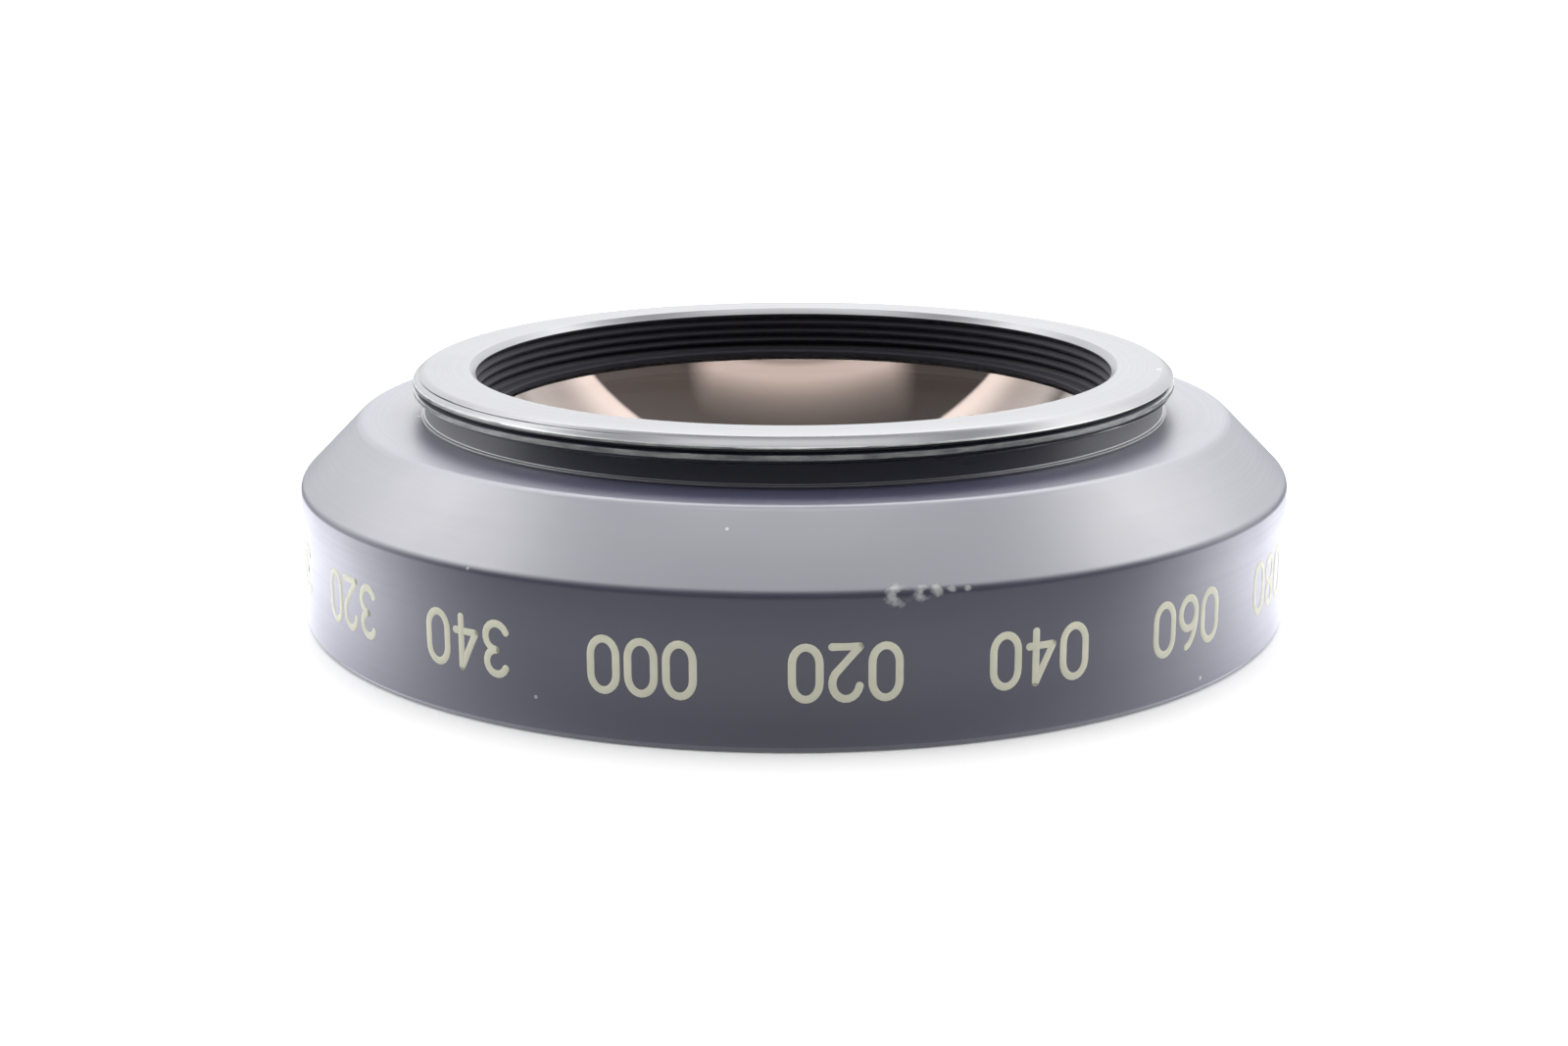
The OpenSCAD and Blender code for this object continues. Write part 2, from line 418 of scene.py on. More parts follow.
def figure_curves():
    """Flat lines of all the figures: x runs along the band, z is the height, upside down."""
    curve = bpy.data.curves.new("figure_lines", "CURVE")
    curve.dimensions = "3D"
    for value in range(0, 360, FIGURE_STEP):
        middle = math.radians(value + FIGURE_OFFSET) * BODY_R
        label = f"{value:03d}"
        for place, digit in enumerate(label):
            left = (place - (len(label) - 1) / 2) * FIGURE_PITCH - FIGURE_W / 2
            for stroke in digit_strokes(digit):
                spline = curve.splines.new("POLY")
                spline.points.add(len(stroke) - 1)
                for point, (u, v) in zip(spline.points, stroke):
                    x = middle - (left + u * FIGURE_W)
                    z = FIGURE_Z - (v - 0.5) * FIGURE_H
                    point.co = (x, 0, z, 1)
    return add_object("band_figures", curve)


def feed(tree, value, socket):
    """Gives a socket a number, or links it to the output of another node."""
    if isinstance(value, (int, float)):
        socket.default_value = value
    else:
        tree.links.new(value, socket)


def math_node(tree, operation, *values, clamp=False):
    """Math node whose inputs are numbers or the outputs of other nodes."""
    node = tree.nodes.new("ShaderNodeMath")
    node.operation = operation
    node.use_clamp = clamp
    for socket, value in zip(node.inputs, values):
        feed(tree, value, socket)
    return node.outputs[0]


def chain(tree, operation, values):
    """One operation over several values in turn; None where there are none."""
    result = None
    for value in values:
        result = value if result is None else math_node(tree, operation, result, value)
    return result


def product(tree, *values):
    """Product of several values."""
    return chain(tree, "MULTIPLY", values)


def hypotenuse(tree, first, second):
    """Length over two values at a right angle."""
    square = math_node(tree, "ADD", product(tree, first, first), product(tree, second, second))
    return math_node(tree, "SQRT", square)


def contrast(tree, value, level, gain):
    """What a value has over a level, times a gain, kept between 0 and 1."""
    over = math_node(tree, "SUBTRACT", value, level)
    return math_node(tree, "MULTIPLY", over, gain, clamp=True)


def under(tree, level, value, gain=1.0):
    """What a value lacks to a level, times a gain, kept between 0 and 1."""
    lack = math_node(tree, "SUBTRACT", level, value)
    return math_node(tree, "MULTIPLY", lack, gain, clamp=True)


def remap(tree, value, low, high):
    """Spreads a value from 0..1 over low..high."""
    node = tree.nodes.new("ShaderNodeMapRange")
    tree.links.new(value, node.inputs[0])
    node.inputs[3].default_value = low
    node.inputs[4].default_value = high
    return node.outputs[0]


def ramp(tree, value, start, end, low=0.0, high=1.0):
    """Soft step of a value: low before the start, high after the end."""
    node = tree.nodes.new("ShaderNodeMapRange")
    node.interpolation_type = "SMOOTHSTEP"
    tree.links.new(value, node.inputs[0])
    for socket, number in zip(list(node.inputs)[1:5], (start, end, low, high)):
        socket.default_value = number
    return node.outputs[0]


def parts_of(tree, vector):
    """The x, y and z of a vector."""
    node = tree.nodes.new("ShaderNodeSeparateXYZ")
    tree.links.new(vector, node.inputs[0])
    return tuple(node.outputs)


def vector_of(tree, *values):
    """Vector from three values, each a number or the output of a node."""
    node = tree.nodes.new("ShaderNodeCombineXYZ")
    for socket, value in zip(node.inputs, values):
        feed(tree, value, socket)
    return node.outputs[0]


def object_place(tree):
    """Place of the shaded point in the frame of its piece, which is the shared frame."""
    return tree.nodes.new("ShaderNodeTexCoord").outputs["Object"]


def noise_node(tree, place, scale, detail, roughness=0.5):
    """Noise texture at a place; the scale is a number or the output of a node."""
    node = tree.nodes.new("ShaderNodeTexNoise")
    tree.links.new(place, node.inputs["Vector"])
    feed(tree, scale, node.inputs["Scale"])
    node.inputs["Detail"].default_value = detail
    node.inputs["Roughness"].default_value = roughness
    return node


def mix_colour(tree, factor, first, second):
    """Mix of two colours; each is a tuple or the output of a node."""
    node = tree.nodes.new("ShaderNodeMix")
    node.data_type = "RGBA"
    feed(tree, factor, node.inputs[0])
    for socket, value in ((node.inputs[6], first), (node.inputs[7], second)):
        if isinstance(value, tuple):
            socket.default_value = (*value, 1)
        else:
            tree.links.new(value, socket)
    return node.outputs[2]


def bead_lines(tree, lines, radius):
    """Geometry nodes: a round bead swept along the lines, with a ball on each end."""
    nodes, links = tree.nodes, tree.links
    bead = nodes.new("GeometryNodeCurvePrimitiveCircle")
    bead.inputs["Resolution"].default_value = BEAD_SIDES
    links.new(radius, bead.inputs["Radius"])
    sweep = nodes.new("GeometryNodeCurveToMesh")
    sweep.inputs["Fill Caps"].default_value = True
    links.new(lines, sweep.inputs["Curve"])
    links.new(bead.outputs["Curve"], sweep.inputs["Profile Curve"])
    ball = nodes.new("GeometryNodeMeshUVSphere")
    ball.inputs["Segments"].default_value = BEAD_SIDES
    ball.inputs["Rings"].default_value = BALL_RINGS
    links.new(radius, ball.inputs["Radius"])
    ends = nodes.new("GeometryNodeCurveEndpointSelection")
    dots = nodes.new("GeometryNodeInstanceOnPoints")
    links.new(lines, dots.inputs["Points"])
    links.new(ends.outputs[0], dots.inputs["Selection"])
    links.new(ball.outputs["Mesh"], dots.inputs["Instance"])
    join = nodes.new("GeometryNodeJoinGeometry")
    links.new(dots.outputs["Instances"], join.inputs[0])
    links.new(sweep.outputs["Mesh"], join.inputs[0])
    real = nodes.new("GeometryNodeRealizeInstances")
    links.new(join.outputs[0], real.inputs[0])
    return real.outputs[0]


def wrapped_place(tree, band_radius, half_stroke, rise):
    """Geometry nodes: x becomes the angle round the band, y is pressed to a low rise over it."""
    x, y, z = parts_of(tree, tree.nodes.new("GeometryNodeInputPosition").outputs[0])
    angle = math_node(tree, "DIVIDE", x, band_radius)
    flat = math_node(tree, "DIVIDE", y, half_stroke)
    reach = math_node(tree, "MULTIPLY_ADD", flat, rise, band_radius)
    across = product(tree, reach, math_node(tree, "SINE", angle))
    along = product(tree, reach, math_node(tree, "COSINE", angle), -1)
    return vector_of(tree, across, along, z)


def wrap_tree(paint):
    """Geometry nodes: low rounded beads along flat lines, wrapped round the band."""
    tree = bpy.data.node_groups.new("wrap_figures", "GeometryNodeTree")
    tree.interface.new_socket("Lines", in_out="INPUT", socket_type="NodeSocketGeometry")
    for label in ("Band radius", "Stroke width", "Rise"):
        tree.interface.new_socket(label, in_out="INPUT", socket_type="NodeSocketFloat")
    tree.interface.new_socket("Figures", in_out="OUTPUT", socket_type="NodeSocketGeometry")
    source = tree.nodes.new("NodeGroupInput")
    result = tree.nodes.new("NodeGroupOutput")
    lines, band_radius, stroke, rise = list(source.outputs)[:4]
    half_stroke = product(tree, stroke, 0.5)
    wrap = tree.nodes.new("GeometryNodeSetPosition")
    tree.links.new(bead_lines(tree, lines, half_stroke), wrap.inputs["Geometry"])
    place = wrapped_place(tree, band_radius, half_stroke, rise)
    tree.links.new(place, wrap.inputs["Position"])
    coat = tree.nodes.new("GeometryNodeSetMaterial")
    coat.inputs["Material"].default_value = paint
    tree.links.new(wrap.outputs[0], coat.inputs["Geometry"])
    tree.links.new(coat.outputs[0], result.inputs["Figures"])
    return tree


def set_input(modifier, name, value):
    """Sets a modifier's input by the identifier of its socket."""
    for item in modifier.node_group.interface.items_tree:
        if item.item_type == "SOCKET" and item.in_out == "INPUT" and item.name == name:
            modifier[item.identifier] = value


def band_figures(paint):
    """Paint-filled figures round the band, as one plain mesh."""
    lines = figure_curves()
    modifier = lines.modifiers.new("wrap", "NODES")
    modifier.node_group = wrap_tree(paint)
    set_input(modifier, "Band radius", BODY_R)
    set_input(modifier, "Stroke width", STROKE)
    set_input(modifier, "Rise", PAINT_RISE)
    mesh = plain_mesh(lines, "band_figures")
    lines.modifiers.remove(modifier)
    bpy.data.objects.remove(lines)
    bm = bmesh.new()
    bm.from_mesh(mesh)
    bmesh.ops.recalc_face_normals(bm, faces=bm.faces)
    bm.to_mesh(mesh)
    bm.free()
    return finish_mesh("band_figures", mesh)


def new_group(name, inputs, outputs):
    """Empty shader node group; its inputs are numbers or vectors, its outputs numbers."""
    tree = bpy.data.node_groups.new(name, "ShaderNodeTree")
    for label, value in inputs:
        kind = "NodeSocketVector" if isinstance(value, tuple) else "NodeSocketFloat"
        socket = tree.interface.new_socket(label, in_out="INPUT", socket_type=kind)
        socket.default_value = value
    for label in outputs:
        tree.interface.new_socket(label, in_out="OUTPUT", socket_type="NodeSocketFloat")
    return tree, tree.nodes.new("NodeGroupInput"), tree.nodes.new("NodeGroupOutput")


def turned_position(tree):
    """Place, radius and height of the shaded point, and its direction round the axis."""
    place = object_place(tree)
    x, y, z = parts_of(tree, place)
    radius = hypotenuse(tree, x, y)
    east = math_node(tree, "DIVIDE", x, radius)
    north = math_node(tree, "DIVIDE", y, radius)
    return place, radius, z, east, north


def turning_group():
    """Fine lathe marks that run round the axis, on any turned face, and broad slow bands."""
    inputs = [("Lines per mm", 8.0), ("Drift", 1.5)]
    tree, source, result = new_group("turning_marks", inputs, ["Marks", "Bands"])
    _, radius, z, east, north = turned_position(tree)
    scale = product(tree, source.outputs["Lines per mm"], 1 / MM)
    drift = source.outputs["Drift"]
    for label, share in (("Marks", 1.0), ("Bands", 0.12)):
        place = vector_of(tree, product(tree, east, drift), product(tree, north, drift),
                          product(tree, radius, scale, share))
        noise = noise_node(tree, place, 1.0, 2.0)
        noise.noise_dimensions = "4D"
        tree.links.new(product(tree, z, scale, share), noise.inputs["W"])
        tree.links.new(noise.outputs[0], result.inputs[label])
    return tree


def grain_group():
    """Fine even grain of a blasted or anodised surface, with slow smudges."""
    inputs = [("Grain per mm", 12.0), ("Smudge per mm", 0.12)]
    tree, source, result = new_group("finish_grain", inputs, ["Grain", "Smudge"])
    place = object_place(tree)
    for label, detail in (("Grain", 3.0), ("Smudge", 4.0)):
        scale = product(tree, source.outputs[label + " per mm"], 1 / MM)
        noise = noise_node(tree, place, scale, detail)
        tree.links.new(noise.outputs[0], result.inputs[label])
    return tree


def edge_wear_group():
    """Broken line of rubbed finish along a turned edge at a given radius and height."""
    inputs = [("Edge radius", BODY_R), ("Edge height", BAND_Z),
              ("Width", 0.2 * MM), ("Amount", 0.5)]
    tree, source, result = new_group("edge_wear", inputs, ["Wear"])
    place, radius, z, _, _ = turned_position(tree)
    away = math_node(tree, "SUBTRACT", radius, source.outputs["Edge radius"])
    above = math_node(tree, "SUBTRACT", z, source.outputs["Edge height"])
    distance = math_node(tree, "DIVIDE", hypotenuse(tree, away, above), source.outputs["Width"])
    noise = noise_node(tree, place, 0.35 / MM, 6.0, 0.7)
    broken = contrast(tree, noise.outputs[0], 0.5, 6.0)
    wear = product(tree, under(tree, 1.0, distance), broken, source.outputs["Amount"])
    tree.links.new(wear, result.inputs["Wear"])
    return tree


def crest_wear_group():
    """Finish rubbed off the crests of the thread in uneven stretches."""
    inputs = [("Crest radius", MOUNT_R), ("Depth", 0.1 * MM), ("Amount", 0.5)]
    tree, source, result = new_group("crest_wear", inputs, ["Wear"])
    place, radius, _, _, _ = turned_position(tree)
    depth = source.outputs["Depth"]
    low = math_node(tree, "SUBTRACT", source.outputs["Crest radius"], depth)
    rise = math_node(tree, "DIVIDE", math_node(tree, "SUBTRACT", radius, low), depth)
    near = math_node(tree, "MULTIPLY", rise, 2.2, clamp=True)
    stretched = tree.nodes.new("ShaderNodeVectorMath")
    stretched.operation = "MULTIPLY"
    tree.links.new(place, stretched.inputs[0])
    stretched.inputs[1].default_value = (1.0, 1.0, 6.0)
    noise = noise_node(tree, stretched.outputs[0], 0.5 / MM, 5.0, 0.65)
    uneven = remap(tree, contrast(tree, noise.outputs[0], 0.38, 4.0), 0.3, 1.0)
    wear = product(tree, near, uneven, source.outputs["Amount"])
    tree.links.new(wear, result.inputs["Wear"])
    return tree


def dust_group():
    """Tiny pale specks, in one out of five cells."""
    inputs = [("Specks per mm", 0.25), ("Size", 0.06)]
    tree, source, result = new_group("dust_specks", inputs, ["Specks"])
    cells = tree.nodes.new("ShaderNodeTexVoronoi")
    tree.links.new(object_place(tree), cells.inputs["Vector"])
    scale = product(tree, source.outputs["Specks per mm"], 1 / MM)
    tree.links.new(scale, cells.inputs["Scale"])
    chance = tree.nodes.new("ShaderNodeSeparateColor")
    tree.links.new(cells.outputs["Color"], chance.inputs[0])
    some = math_node(tree, "GREATER_THAN", chance.outputs[0], 0.8)
    reach = product(tree, source.outputs["Size"], chance.outputs[1])
    close = math_node(tree, "LESS_THAN", cells.outputs["Distance"], reach)
    tree.links.new(product(tree, some, close), result.inputs["Specks"])
    return tree


def nick_group():
    """One small chip: a ragged smear of bared metal, less the part about its hollow."""
    inputs = [("Centre", (0.0, 0.0, 0.0)), ("Hollow", (0.0, 0.0, 0.0)), ("Size", 0.6 * MM)]
    tree, source, result = new_group("nick", inputs, ["Bare", "Dent"])
    place = object_place(tree)
    noise = noise_node(tree, place, 3.4 / MM, 3.0)
    ragged = math_node(tree, "SUBTRACT", noise.outputs[0], 0.5)
    masks = []
    for label, level, gain in (("Centre", 1.0, 1.8), ("Hollow", 0.62, 3.0)):
        gap = tree.nodes.new("ShaderNodeVectorMath")
        gap.operation = "DISTANCE"
        tree.links.new(place, gap.inputs[0])
        tree.links.new(source.outputs[label], gap.inputs[1])
        sizes = math_node(tree, "DIVIDE", gap.outputs["Value"], source.outputs["Size"])
        masks.append(under(tree, level, math_node(tree, "ADD", sizes, ragged), gain))
    smear = math_node(tree, "SUBTRACT", *masks, clamp=True)
    tree.links.new(product(tree, smear, 0.75), result.inputs["Bare"])
    tree.links.new(masks[0], result.inputs["Dent"])
    return tree


def place_group(tree, group, **values):
    """A node group put into a material, with its own values."""
    node = tree.nodes.new("ShaderNodeGroup")
    node.node_tree = group
    for label, value in values.items():
        node.inputs[label.replace("_", " ")].default_value = value
    return node


def new_material(name):
    """Material with its node tree and its Principled shader."""
    material = bpy.data.materials.new(name)
    material.use_nodes = True
    tree = material.node_tree
    return material, tree, tree.nodes["Principled BSDF"]


def add_bump(tree, shader, height, strength, distance):
    """Bump from a height, fed to the shader's normal."""
    bump = tree.nodes.new("ShaderNodeBump")
    bump.inputs["Strength"].default_value = strength
    bump.inputs["Distance"].default_value = distance
    tree.links.new(height, bump.inputs["Height"])
    tree.links.new(bump.outputs[0], shader.inputs["Normal"])


# Chips on the edge between band and bevel: angle from the front in degrees, height and
# size in mm, and whether the hollow lies within the smear and leaves it open to the right
NICKS = (
    (9.9, 10.28, 0.86, True),
    (12.4, 10.36, 0.60, True),
    (13.9, 10.5, 0.50, False),
    (15.4, 10.55, 0.34, False),
    (17.0, 10.5, 0.28, False),
    (-34.5, 10.5, 0.2, False),
)

# Place of a chip's hollow to the right of its centre, in sizes of the chip
HOLLOW_WITHIN = 0.35
HOLLOW_CLEAR = 3

# Finishes: indices of refraction, wear of the thread crests, bared metal, dust
COAT_IOR = 1.8
GLASS_IOR = 1.9
COATING_TINT = (1.0, 0.78, 0.68)
CREST_WEAR = 0.75
BARE_TINT = (0.36, 0.38, 0.36)
DUST_TINT = (0.7, 0.7, 0.68)
DUST_COVER = 0.4
NICK_DEPTH = 3.0


def rubbed_masks(tree, groups, wear_edges, crest):
    """Masks of the finish rubbed off turned edges and, where asked, off thread crests."""
    masks = []
    for radius, height, width, amount in wear_edges:
        wear = place_group(tree, groups["wear"], Edge_radius=radius, Edge_height=height,
                           Width=width, Amount=amount)
        masks.append(wear.outputs["Wear"])
    if crest is not None:
        wear = place_group(tree, groups["crest_wear"], Crest_radius=crest, Amount=CREST_WEAR)
        masks.append(wear.outputs["Wear"])
    return masks


def nick_nodes(tree, groups, nicks):
    """One node for each chip on the band's edge."""
    nodes = []
    for angle, height, size, open_right in nicks:
        turn = math.radians(angle)
        shift = (HOLLOW_WITHIN if open_right else HOLLOW_CLEAR) * size * MM
        centre = polar(BODY_R, turn, height * MM)
        hollow = polar(BODY_R, turn + shift / BODY_R, height * MM)
        nodes.append(place_group(tree, groups["nick"], Centre=centre, Hollow=hollow,
                                 Size=size * MM))
    return nodes


def anodised(name, groups, tone, roughness, lines, wear_edges, nicks=(), crest=None, shine=1.0):
    """Black anodised aluminium: turning marks, fine grain, rubbed edges, chips and dust."""
    material, tree, shader = new_material(name)
    turning = place_group(tree, groups["turning"], Lines_per_mm=lines)
    grain = place_group(tree, groups["grain"])
    dust = place_group(tree, groups["dust"])
    chips = nick_nodes(tree, groups, nicks)
    bare = chain(tree, "MAXIMUM", rubbed_masks(tree, groups, wear_edges, crest)
                 + [chip.outputs["Bare"] for chip in chips])
    dents = chain(tree, "MAXIMUM", [chip.outputs["Dent"] for chip in chips])

    lighter = tuple(min(c * 1.35 + 0.004, 1) for c in tone)
    smudge = remap(tree, grain.outputs["Smudge"], 0.0, 0.35)
    colour = mix_colour(tree, turning.outputs["Bands"], tone, lighter)
    colour = mix_colour(tree, smudge, colour, lighter)
    if bare is not None:
        colour = mix_colour(tree, bare, colour, BARE_TINT)
    specks = product(tree, dust.outputs["Specks"], DUST_COVER)
    tree.links.new(mix_colour(tree, specks, colour, DUST_TINT), shader.inputs["Base Color"])

    lined = remap(tree, turning.outputs["Marks"], roughness - 0.05, roughness + 0.05)
    smudged = remap(tree, grain.outputs["Smudge"], -0.04, 0.06)
    tree.links.new(math_node(tree, "ADD", lined, smudged), shader.inputs["Roughness"])

    height = math_node(tree, "ADD", product(tree, turning.outputs["Marks"], 0.5),
                       product(tree, grain.outputs["Grain"], 0.35))
    if dents is not None:
        height = math_node(tree, "SUBTRACT", height, product(tree, dents, NICK_DEPTH))
    add_bump(tree, shader, height, 0.35, 0.01 * MM)
    shader.inputs["IOR"].default_value = COAT_IOR
    shader.inputs["Specular IOR Level"].default_value = shine
    return material


def grained(name, groups, blend, dark, pale, roughness, bump, **scales):
    """Plain material: two tones blended by its grain or its smudges, and a grained skin."""
    material, tree, shader = new_material(name)
    grain = place_group(tree, groups["grain"], **scales)
    colour = mix_colour(tree, grain.outputs[blend], dark, pale)
    tree.links.new(colour, shader.inputs["Base Color"])
    tree.links.new(remap(tree, grain.outputs["Grain"], *roughness), shader.inputs["Roughness"])
    add_bump(tree, shader, grain.outputs["Grain"], *bump)
    return material


def paint_material(groups):
    """Pale cream paint in the figures, a little uneven."""
    return grained("figure_paint", groups, "Smudge", (0.44, 0.44, 0.35), (0.60, 0.59, 0.47),
                   (0.45, 0.65), (0.3, 0.01 * MM), Grain_per_mm=6.0, Smudge_per_mm=0.5)


def lens_black(groups):
    """Matt black lacquer on the ground edges of the glass."""
    return grained("edge_lacquer", groups, "Grain", (0.008, 0.008, 0.009), (0.02, 0.02, 0.021),
                   (0.5, 0.75), (0.4, 0.02 * MM), Grain_per_mm=8.0)


def rubber_material(groups):
    """Black rubber with a dull, slightly dusty skin."""
    return grained("black_rubber", groups, "Smudge", (0.012, 0.012, 0.012), (0.035, 0.034, 0.033),
                   (0.6, 0.85), (0.5, 0.03 * MM), Grain_per_mm=5.0, Smudge_per_mm=0.3)


def glass_material(groups):
    """Polished, coated glass with a faint film and a few specks of dust."""
    material, tree, shader = new_material("optical_glass")
    grain = place_group(tree, groups["grain"], Grain_per_mm=2.0, Smudge_per_mm=0.08)
    dust = place_group(tree, groups["dust"], Specks_per_mm=0.3, Size=0.04)
    smudge = grain.outputs["Smudge"]
    colour = mix_colour(tree, smudge, (0.42, 0.37, 0.34), (0.50, 0.45, 0.42))
    tree.links.new(colour, shader.inputs["Base Color"])
    rough = math_node(tree, "ADD", remap(tree, smudge, 0.0, 0.03),
                      product(tree, dust.outputs["Specks"], DUST_COVER))
    tree.links.new(rough, shader.inputs["Roughness"])
    shader.inputs["IOR"].default_value = GLASS_IOR
    shader.inputs["Transmission Weight"].default_value = 1.0
    shader.inputs["Specular IOR Level"].default_value = 1.0
    shader.inputs["Specular Tint"].default_value = (*COATING_TINT, 1)
    return material


# White table: half its width in metres, its grey, and what is added for the camera
FLOOR_HALF = 3.0
FLOOR_GREY = 0.74
CAMERA_WHITE = 0.05

# Glow of the table in mirrored rays, which paints light and shade into the lens's reflections:
# painted shade near the rim, painted light on a ring round it, painted shade further out in
# front, and bright painted light beside and behind it. Each soft step is (start, end, level
# before, level after), over the distance from the axis or over y, in metres
PAINTED_GLOW_TINT = (0.98, 0.98, 1.06)
PAINTED_LIGHT_NEAR_SHADE_FAR = (0.064, 0.084, 0.94, 0.02)
PAINTED_SHADE_AT_RIM = (0.041, 0.060, 0.37, 1.0)
PAINTED_LIGHT_BESIDE_Y = (-0.043, 0.004, 0.0, 3.6)
PAINTED_LIGHT_BESIDE_FAR = (0.07, 0.095, 1.0, 0.2)
PAINTED_LIGHT_BEHIND_Y = (0.015, 0.045, 1.0, 0.25)


def seen_or_mirrored(tree, lit, painted_glow_strength):
    """The lit shader, a little whitened for the camera, but in mirrored rays a glow that paints
    light and shade.
    """
    path = tree.nodes.new("ShaderNodeLightPath")
    white = tree.nodes.new("ShaderNodeEmission")
    strength = product(tree, path.outputs["Is Camera Ray"], CAMERA_WHITE)
    tree.links.new(strength, white.inputs["Strength"])
    seen = tree.nodes.new("ShaderNodeAddShader")
    tree.links.new(lit, seen.inputs[0])
    tree.links.new(white.outputs[0], seen.inputs[1])
    painted_glow = tree.nodes.new("ShaderNodeEmission")
    tree.links.new(painted_glow_strength, painted_glow.inputs["Strength"])
    painted_glow.inputs["Color"].default_value = (*PAINTED_GLOW_TINT, 1)
    mirrored = math_node(tree, "MAXIMUM", path.outputs["Is Glossy Ray"],
                         path.outputs["Is Transmission Ray"])
    mix = tree.nodes.new("ShaderNodeMixShader")
    for socket, output in zip(mix.inputs, (mirrored, seen.outputs[0], painted_glow.outputs[0])):
        tree.links.new(output, socket)
    return mix.outputs[0]


def floor_material():
    """White table whose mirror image in the lens is painted light and shade, set by distance and
    direction.
    """
    material, tree, shader = new_material("floor_white_painted_glow")
    shader.inputs["Base Color"].default_value = (FLOOR_GREY, FLOOR_GREY, FLOOR_GREY, 1)
    shader.inputs["Roughness"].default_value = 0.8
    x, y, _ = parts_of(tree, object_place(tree))
    distance = hypotenuse(tree, x, y)
    # Painted shade near the rim and further out, with painted light on a ring between them
    near = product(tree, ramp(tree, distance, *PAINTED_LIGHT_NEAR_SHADE_FAR), ramp(tree, distance, *PAINTED_SHADE_AT_RIM))
    # Painted light beside and behind the lens, strong close by and weaker far out
    painted_light_beside = product(tree, ramp(tree, y, *PAINTED_LIGHT_BESIDE_Y), ramp(tree, distance, *PAINTED_LIGHT_BESIDE_FAR),
                     ramp(tree, y, *PAINTED_LIGHT_BEHIND_Y))
    painted_glow = math_node(tree, "ADD", near, painted_light_beside)
    surface = seen_or_mirrored(tree, shader.outputs[0], painted_glow)
    tree.links.new(surface, tree.nodes["Material Output"].inputs["Surface"])
    return material


def studio_floor():
    """White table that keeps the soft shadow of the lens."""
    bm = bmesh.new()
    bmesh.ops.create_grid(bm, x_segments=2, y_segments=2, size=FLOOR_HALF)
    floor = add_object("floor", mesh_from(bm, "floor"))
    floor.data.materials.append(floor_material())


# Brightness of the white tent round the lens, by direction; 1 is the white of the picture
PANEL = 5.6
CANOPY = 1.65
WINDOW = 3.3
WINDOW_TOP = 4.2
WINDOW_WINGS = 1.1
SIDES = 4.3
WALL = 1.9
GAP = (0.45, 0.75)
FRONT = 0.08

# Least height or depth that a slope is divided by, and the soft step from left to right
LEAST = 0.02
LEFT_TO_RIGHT = (-0.15, 0.15)

# Ceiling, in slopes: sideways or backwards over height
PANEL_SHIFT = 0.03
PANEL_SIDE = (0.30, 0.46)
PANEL_FRONT = (-0.14, -0.05)
PANEL_FADE = 0.12
PANEL_FADE_POWER = 1.6
CANOPY_SIDE = (0.8, 1.1)
CANOPY_FRONT = (-1.0, -0.6)
CANOPY_BACK = (-0.10, -0.02)
CANOPY_RISE = (-0.30, -0.12)

# Window behind, in slopes: sideways or upwards over depth
WINDOW_SLANT = 0.55
WINDOW_TILT = 0.08
WINDOW_FOOT = (0.2, 0.42)
WINDOW_BRIGHT = (0.6, 1.1)
WINDOW_HEAD = (1.2, 1.33)
WING_SIDE = (1.3, 1.7)


def ceiling_panel(tree, x, y, z):
    """Panel straight above that fades backwards, and a dimmer canopy in front of it."""
    height = math_node(tree, "MAXIMUM", z, LEAST)
    slope = math_node(tree, "DIVIDE", x, height)
    side = math_node(tree, "ABSOLUTE", math_node(tree, "ADD", slope, PANEL_SHIFT))
    back = math_node(tree, "DIVIDE", y, height)
    reach = math_node(tree, "DIVIDE", math_node(tree, "MAXIMUM", back, 0.0), PANEL_FADE)
    fade = math_node(tree, "POWER", reach, PANEL_FADE_POWER)
    fall = math_node(tree, "DIVIDE", 1.0, math_node(tree, "ADD", fade, 1.0))
    panel = product(tree, ramp(tree, side, *PANEL_SIDE, 1.0, 0.0), ramp(tree, back, *PANEL_FRONT),
                    fall, PANEL)
    canopy = product(tree, ramp(tree, side, *CANOPY_SIDE, 1.0, 0.0),
                     ramp(tree, back, *CANOPY_FRONT), ramp(tree, back, *CANOPY_BACK, 1.0, 0.0),
                     ramp(tree, back, *CANOPY_RISE, CANOPY, 2.0 * CANOPY))
    return math_node(tree, "MAXIMUM", panel, canopy)


def tall_window(tree, x, y, z):
    """Wide window behind with slanted edges, brightest along its top and at its sides."""
    depth = math_node(tree, "MAXIMUM", y, LEAST)
    side = math_node(tree, "DIVIDE", math_node(tree, "ABSOLUTE", x), depth)
    slope = math_node(tree, "DIVIDE", z, depth)
    up = math_node(tree, "SUBTRACT", slope, product(tree, side, WINDOW_SLANT))
    up = math_node(tree, "ADD", up, ramp(tree, x, *LEFT_TO_RIGHT, 0.0, WINDOW_TILT))
    level = math_node(tree, "ADD", ramp(tree, up, *WINDOW_BRIGHT, 0.0, WINDOW_TOP), WINDOW)
    level = math_node(tree, "ADD", level, ramp(tree, side, *WING_SIDE, 0.0, WINDOW_WINGS))
    return product(tree, ramp(tree, up, *WINDOW_FOOT), ramp(tree, up, *WINDOW_HEAD, 1.0, 0.0),
                   ramp(tree, y, 0.0, 0.06), level)


def side_panels(tree, x, y, z):
    """Soft panels high on the left and the right."""
    side = math_node(tree, "ABSOLUTE", x)
    return product(tree, ramp(tree, side, 0.54, 0.62), ramp(tree, y, -0.45, 0.0),
                   ramp(tree, z, 0.3, 0.5), SIDES)


def low_wall(tree, y, z):
    """Pale wall low behind the lens, under the window, brighter upwards."""
    return product(tree, ramp(tree, z, 0.40, 0.5, 1.0, 0.0), ramp(tree, y, 0.0, 0.3),
                   ramp(tree, z, 0.15, 0.45, WALL, WALL * 1.5))


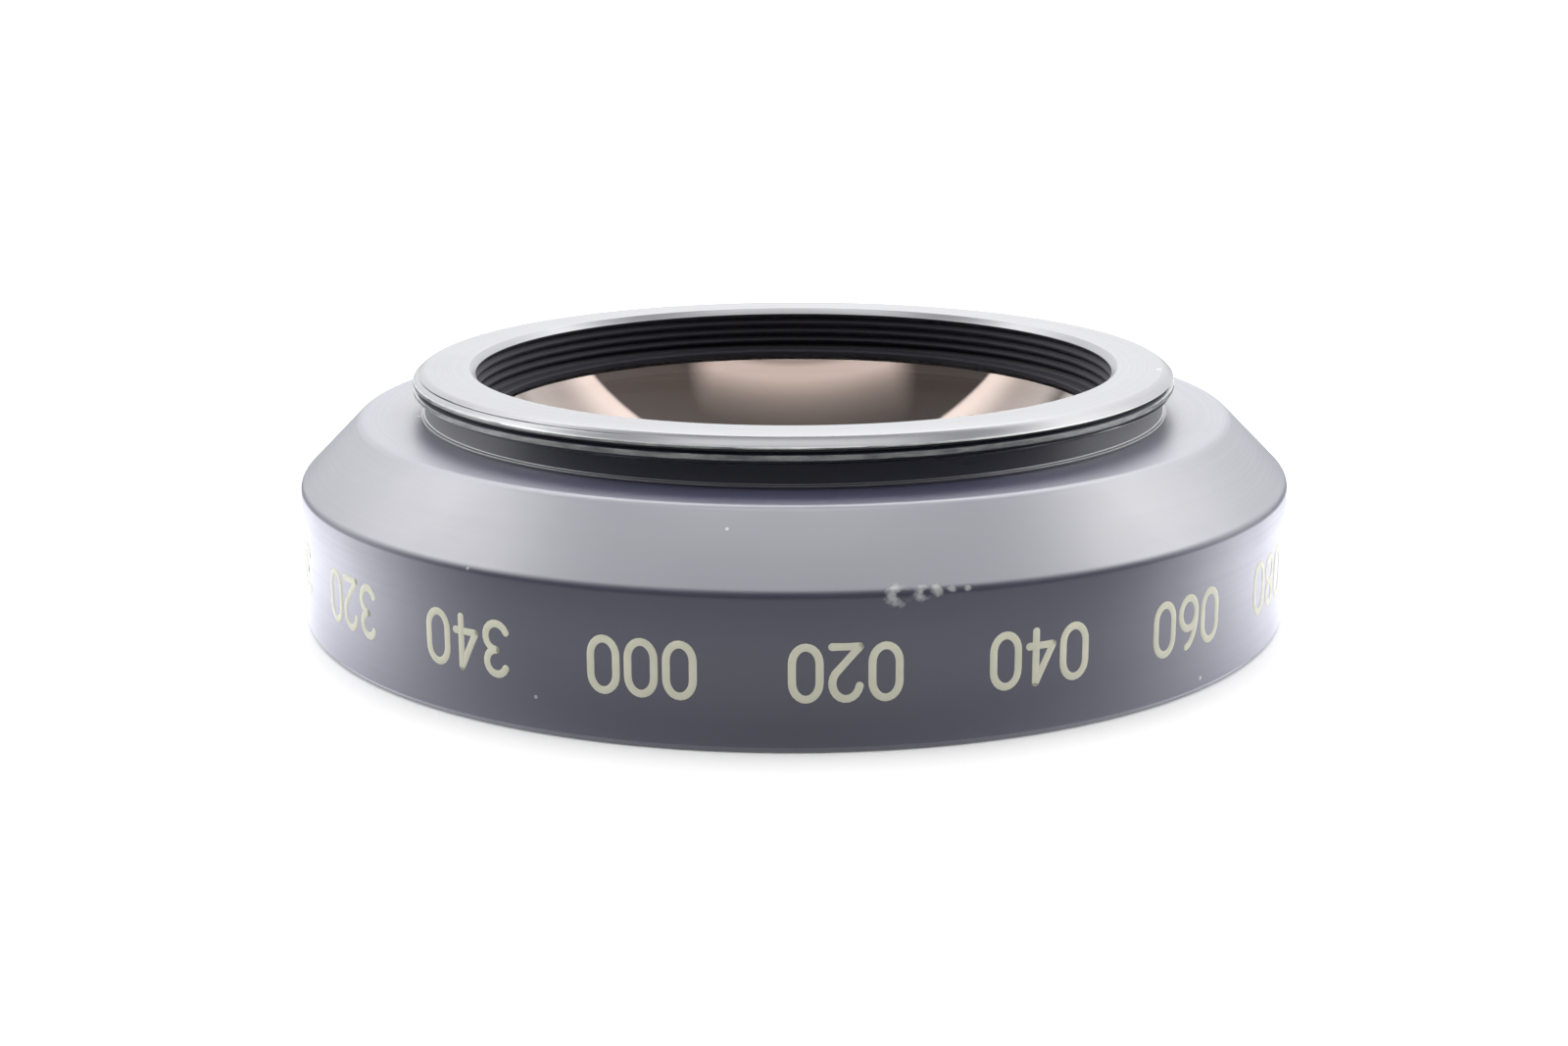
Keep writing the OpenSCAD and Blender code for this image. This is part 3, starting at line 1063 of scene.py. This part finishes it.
def world():
    """White tent that lights the lens, with dim gaps and a dark front; white to the camera."""
    scene_world = bpy.data.worlds.new("studio")
    bpy.context.scene.world = scene_world
    scene_world.use_nodes = True
    tree = scene_world.node_tree
    background = tree.nodes["Background"]
    x, y, z = parts_of(tree, tree.nodes.new("ShaderNodeTexCoord").outputs["Generated"])
    gap = product(tree, ramp(tree, y, -0.1, 0.1), ramp(tree, x, *LEFT_TO_RIGHT, *GAP))
    light = chain(tree, "MAXIMUM", (
        math_node(tree, "ADD", gap, FRONT),
        low_wall(tree, y, z),
        ceiling_panel(tree, x, y, z),
        tall_window(tree, x, y, z),
        side_panels(tree, x, y, z),
    ))
    path = tree.nodes.new("ShaderNodeLightPath")
    shown = tree.nodes.new("ShaderNodeMix")
    tree.links.new(path.outputs["Is Camera Ray"], shown.inputs[0])
    tree.links.new(light, shown.inputs[2])
    shown.inputs[3].default_value = 1.0
    tree.links.new(shown.outputs[0], background.inputs["Strength"])
    background.inputs["Color"].default_value = (1, 1, 1, 1)


# Camera fitted to the photograph: place in metres, tilt, turn and roll in degrees, and
# the lens and the width of the frame in mm
CAMERA_PLACE = (0.0, -0.17934, 0.05121)
CAMERA_TILT = 14.28
CAMERA_TURN = 0.243
CAMERA_ROLL = -0.193
CAMERA_LENS = 54.19
CAMERA_FRAME = 36


def camera():
    """Camera at the photograph's viewpoint."""
    view = bpy.data.cameras.new("camera")
    view.lens = CAMERA_LENS
    view.sensor_width = CAMERA_FRAME
    view.clip_start = 0.01
    eye = add_object("camera", view)
    eye.location = CAMERA_PLACE
    aim = Euler((math.radians(90 - CAMERA_TILT), 0, math.radians(CAMERA_TURN)), "XYZ").to_matrix()
    roll = Euler((0, 0, math.radians(CAMERA_ROLL)), "XYZ").to_matrix()
    eye.rotation_euler = (aim @ roll).to_euler()
    bpy.context.scene.camera = eye


def dress(piece, slot, *materials, node=None):
    """Gives a piece its materials, puts it under the root body, and hides the imported node if one
    is given; the slot is not used.
    """
    for material in materials:
        piece.data.materials.append(material)
    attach(piece, "root")
    if node:
        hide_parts(node)


def build_lens():
    """All the pieces of the lens with their finishes."""
    groups = {
        "turning": turning_group(),
        "grain": grain_group(),
        "wear": edge_wear_group(),
        "crest_wear": crest_wear_group(),
        "dust": dust_group(),
        "nick": nick_group(),
    }
    worn_rim = (BODY_R - RIM_CHAMFER / 2, RIM_CHAMFER / 2, 0.3 * MM, 0.12)
    worn_top = (MOUNT_R - 0.2 * MM, TOP_Z - 0.2 * MM, 0.2 * MM, 0.3)
    worn_collar = (COLLAR_R, COLLAR_Z, 0.12 * MM, 0.2)
    worn_retainer = (RETAINER_R, RETAINER_Z + RETAINER_CHAMFER, 0.15 * MM, 0.3)
    satin = anodised("satin_black_anodised", groups, (0.014, 0.015, 0.044), 0.40, 7.0,
                     [worn_rim], nicks=NICKS)
    bright = anodised("bright_black_anodised", groups, (0.009, 0.010, 0.024), 0.30, 9.0,
                      [worn_top, worn_collar], crest=MOUNT_R)
    matt = anodised("glare_stop_black", groups, (0.014, 0.014, 0.020), 0.6, 9.0, [], shine=0.1)
    inner = anodised("retainer_anodised", groups, (0.018, 0.018, 0.020), 0.4, 6.0,
                     [worn_retainer])
    paint = paint_material(groups)
    glass, lacquer = glass_material(groups), lens_black(groups)
    dress(barrel(), "barrel", satin, node="barrel")
    dress(mount_ring(), "mount_ring", bright, matt, node="mount_ring")
    dress(meniscus(), "meniscus_lens", glass, lacquer, node="meniscus_lens")
    dress(retainer(), "retaining_ring", inner, node="retaining_ring")
    dress(cushion(), "lens_cushion", rubber_material(groups), node="lens_cushion")
    dress(band_figures(paint), "barrel", paint)


bpy.context.scene.view_settings.view_transform = "Standard"
camera()
world()
studio_floor()
build_lens()
